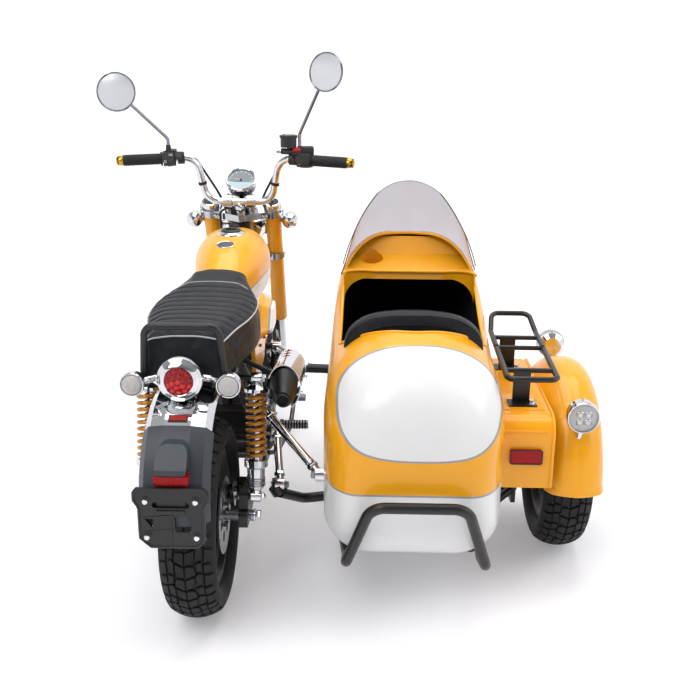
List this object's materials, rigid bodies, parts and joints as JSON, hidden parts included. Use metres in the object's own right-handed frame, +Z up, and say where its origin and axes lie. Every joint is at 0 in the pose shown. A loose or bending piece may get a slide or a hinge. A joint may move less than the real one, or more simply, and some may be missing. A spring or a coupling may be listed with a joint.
{
  "type": "sidecar motorcycle",
  "caption": "Small upright motorcycle with a bullet-shaped passenger sidecar on its right, three disc-hub wheels, chrome bars and mirrors, luggage rack and windscreen.",
  "frame": {"origin": "centre of the footprint, on the floor under the wheels", "axes": "+Y forward, +X to the right towards the sidecar, +Z up"},
  "size_m": [1.3978, 1.739, 1.3289],
  "materials": {
    "black_frame_paint": "satin",
    "black_plastic": "matte",
    "cast_aluminium": "satin",
    "chrome": "polished",
    "clear_lens": "gloss",
    "grip_rubber": "matte",
    "red_lens": "gloss",
    "rim_paint": "satin",
    "seat_leather": "satin",
    "smoked_screen": "gloss",
    "spring_paint": "gloss",
    "steel": "brushed",
    "tyre_rubber": "matte",
    "yellow_paint": "gloss"
  },
  "bodies": {
    "chassis": {"axles": "steel", "car_fender": "yellow_paint", "chain": "steel", "clear_lenses": "clear_lens", "dashboard": "yellow_paint", "engine": "cast_aluminium", "exhaust": "black_plastic", "fender_lamps": "chrome", "foot_controls": "steel", "frame": "black_frame_paint", "fuel_tank": "yellow_paint", "grab_rail": "black_frame_paint", "heat_shield": "chrome", "luggage_rack": "black_frame_paint", "mudguard": "black_plastic", "plate_bracket": "black_frame_paint", "rear_bumper": "black_frame_paint", "rear_caliper": "black_frame_paint", "rear_fender": "chrome", "rear_lamps": "chrome", "red_lenses": "red_lens", "seat": "seat_leather", "seat_back": "seat_leather", "seat_cushion": "seat_leather", "shock_bodies": "chrome", "shock_springs": "spring_paint", "side_covers": "yellow_paint", "sidecar_body": "yellow_paint", "sidecar_frame": "black_frame_paint", "swingarm": "black_frame_paint", "tank_cap": "chrome", "tie_rods": "chrome", "windscreen": "smoked_screen"},
    "rear_wheel": {"rear_disc": "steel", "rear_rim": "rim_paint", "rear_sprocket": "steel", "rear_tyre": "tyre_rubber"},
    "steering": {"control_cables": "black_plastic", "fork_sliders": "chrome", "fork_tubes": "yellow_paint", "front_axle": "steel", "front_caliper": "black_frame_paint", "front_fender": "chrome", "front_indicators": "chrome", "front_lenses": "clear_lens", "grips": "grip_rubber", "handlebar": "chrome", "headlamp": "chrome", "mirrors": "chrome", "speedometer": "chrome", "switchgear": "black_plastic", "triple_clamps": "cast_aluminium"},
    "front_wheel": {"front_disc": "steel", "front_rim": "rim_paint", "front_tyre": "tyre_rubber"},
    "side_stand": {"side_stand": "black_frame_paint"},
    "sidecar_wheel": {"car_rim": "rim_paint", "car_tyre": "tyre_rubber"}
  },
  "joints": [
    {"name": "steering_turn", "type": "hinge", "parent": "chassis", "child": "steering", "pos_m": [-0.315, 0.34177, 0.77036], "axis": [0, -0.4226, 0.9063], "range_deg": [-35, 35]},
    {"name": "front_wheel_roll", "type": "hinge", "parent": "steering", "child": "front_wheel", "pos_m": [-0.315, 0.619, 0.24], "axis": [1, 0, 0], "continuous": true},
    {"name": "rear_wheel_roll", "type": "hinge", "parent": "chassis", "child": "rear_wheel", "pos_m": [-0.315, -0.536, 0.246], "axis": [1, 0, 0], "continuous": true},
    {"name": "sidecar_wheel_roll", "type": "hinge", "parent": "chassis", "child": "sidecar_wheel", "pos_m": [0.62, -0.151, 0.242], "axis": [1, 0, 0], "continuous": true},
    {"name": "side_stand_swing", "type": "hinge", "parent": "chassis", "child": "side_stand", "pos_m": [-0.443, -0.112, 0.226], "axis": [1, 0, 0], "range_deg": [0, 95]}
  ]
}
